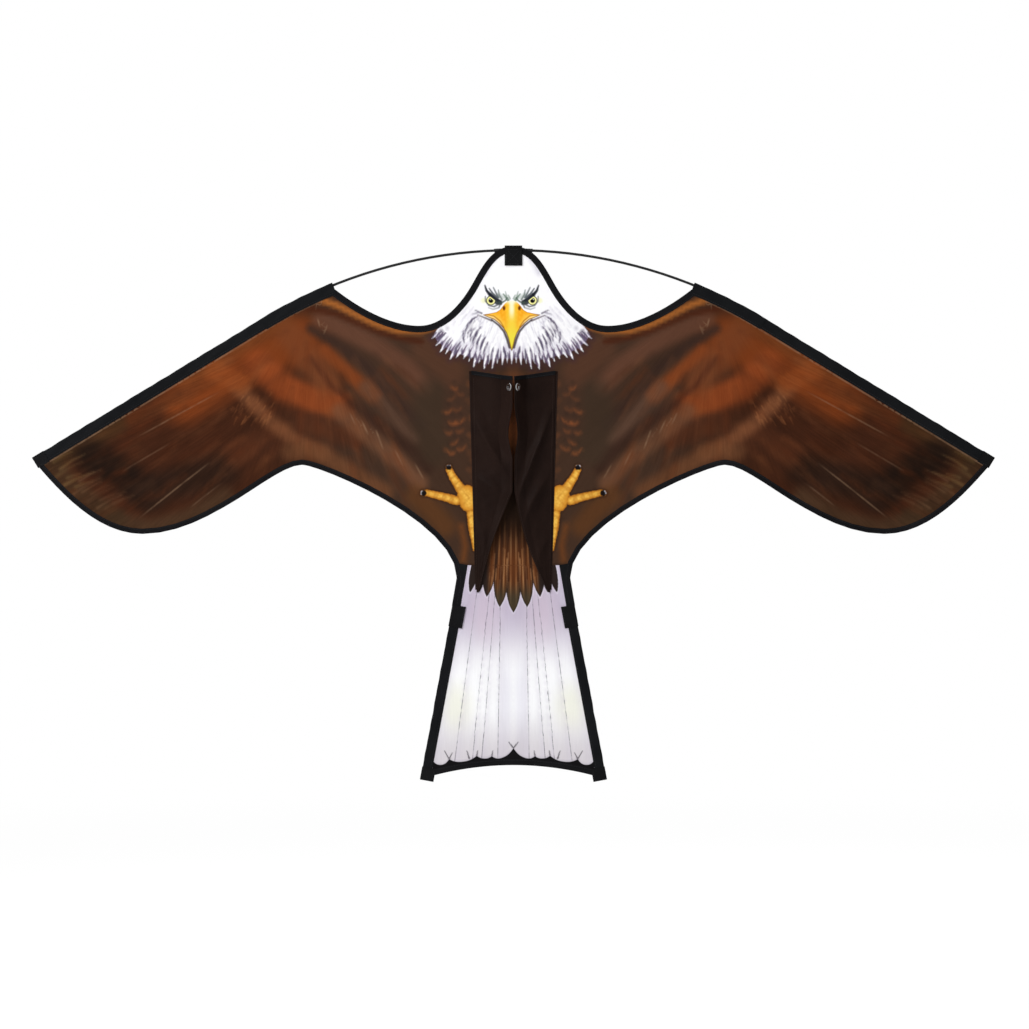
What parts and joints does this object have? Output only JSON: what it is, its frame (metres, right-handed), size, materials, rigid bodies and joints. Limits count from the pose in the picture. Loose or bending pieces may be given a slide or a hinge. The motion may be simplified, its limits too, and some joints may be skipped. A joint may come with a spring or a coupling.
{
  "type": "bird scarer kite",
  "caption": "Flat raptor-shaped cloth kite held open by a bowed spar and tail rods, with hinged keel flaps whose eyelets take a flying line.",
  "frame": {"origin": "the tow point, midway between the axes of the tow eyelets in the keel flaps", "axes": "+X along the wings to the right as seen from the printed front, +Y from front to back, +Z towards the head"},
  "size_m": [1.1, 0.03, 0.6126],
  "materials": {
    "sail_print": "printed polyester, brown feathers, white head",
    "tail_print": "printed polyester, white tail feathers",
    "edging_tape": "black folded tape, sewn",
    "sleeve_cloth": "black satin polyester, sewn",
    "webbing": "black ribbed webbing, sewn",
    "rod": "black pultruded glass fibre",
    "ferrule": "drawn tube",
    "cap": "black vinyl",
    "flap_cloth": "very dark brown polyester",
    "eyelet": "nickel-plated"
  },
  "bodies": {
    "kite": {"body_panel": "sail_print", "tail_panel": "tail_print", "tail_seam_tape": "edging_tape", "head_binding": "edging_tape", "trailing_binding_left": "edging_tape", "trailing_binding_right": "edging_tape", "tail_hem": "edging_tape", "leading_cuff_left": "sleeve_cloth", "leading_cuff_right": "sleeve_cloth", "leading_sleeve_left": "sleeve_cloth", "leading_sleeve_right": "sleeve_cloth", "tail_sleeve_left": "sleeve_cloth", "tail_sleeve_right": "sleeve_cloth", "wing_tip_pocket_left": "webbing", "wing_tip_pocket_right": "webbing", "head_tab": "webbing", "tail_retainer_left": "webbing", "tail_retainer_right": "webbing", "tail_corner_left": "webbing", "tail_corner_right": "webbing", "spar_left": "rod", "spar_right": "rod", "spar_ferrule": "ferrule", "spar_cap_left": "cap", "spar_cap_right": "cap", "keel_strip_left": "flap_cloth", "keel_strip_right": "flap_cloth"},
    "keel_left": {"keel_flap_left": "flap_cloth", "keel_hem_left": "edging_tape", "keel_eyelet_left": "eyelet", "keel_washer_left": "eyelet"},
    "keel_right": {"keel_flap_right": "flap_cloth", "keel_hem_right": "edging_tape", "keel_eyelet_right": "eyelet", "keel_washer_right": "eyelet"},
    "rod_left": {"tail_rod_left": "rod", "tail_rod_cap_left": "cap"},
    "rod_right": {"tail_rod_right": "rod", "tail_rod_cap_right": "cap"}
  },
  "joints": [
    {"name": "keel_left_hinge", "type": "hinge", "parent": "kite", "child": "keel_left", "pos_m": [-0.048, 0.01675, 0.0185], "axis": [0.0238, 0, -0.9997], "range_deg": [0, 90]},
    {"name": "keel_right_hinge", "type": "hinge", "parent": "kite", "child": "keel_right", "pos_m": [0.048, 0.01675, 0.0185], "axis": [0.0238, 0, 0.9997], "range_deg": [0, 90]},
    {"name": "rod_left_slide", "type": "slide", "parent": "kite", "child": "rod_left", "axis": [0.1828, 0, 0.9832], "range_m": [0, 0.21]},
    {"name": "rod_right_slide", "type": "slide", "parent": "kite", "child": "rod_right", "axis": [-0.1828, 0, 0.9832], "range_m": [0, 0.21]}
  ]
}
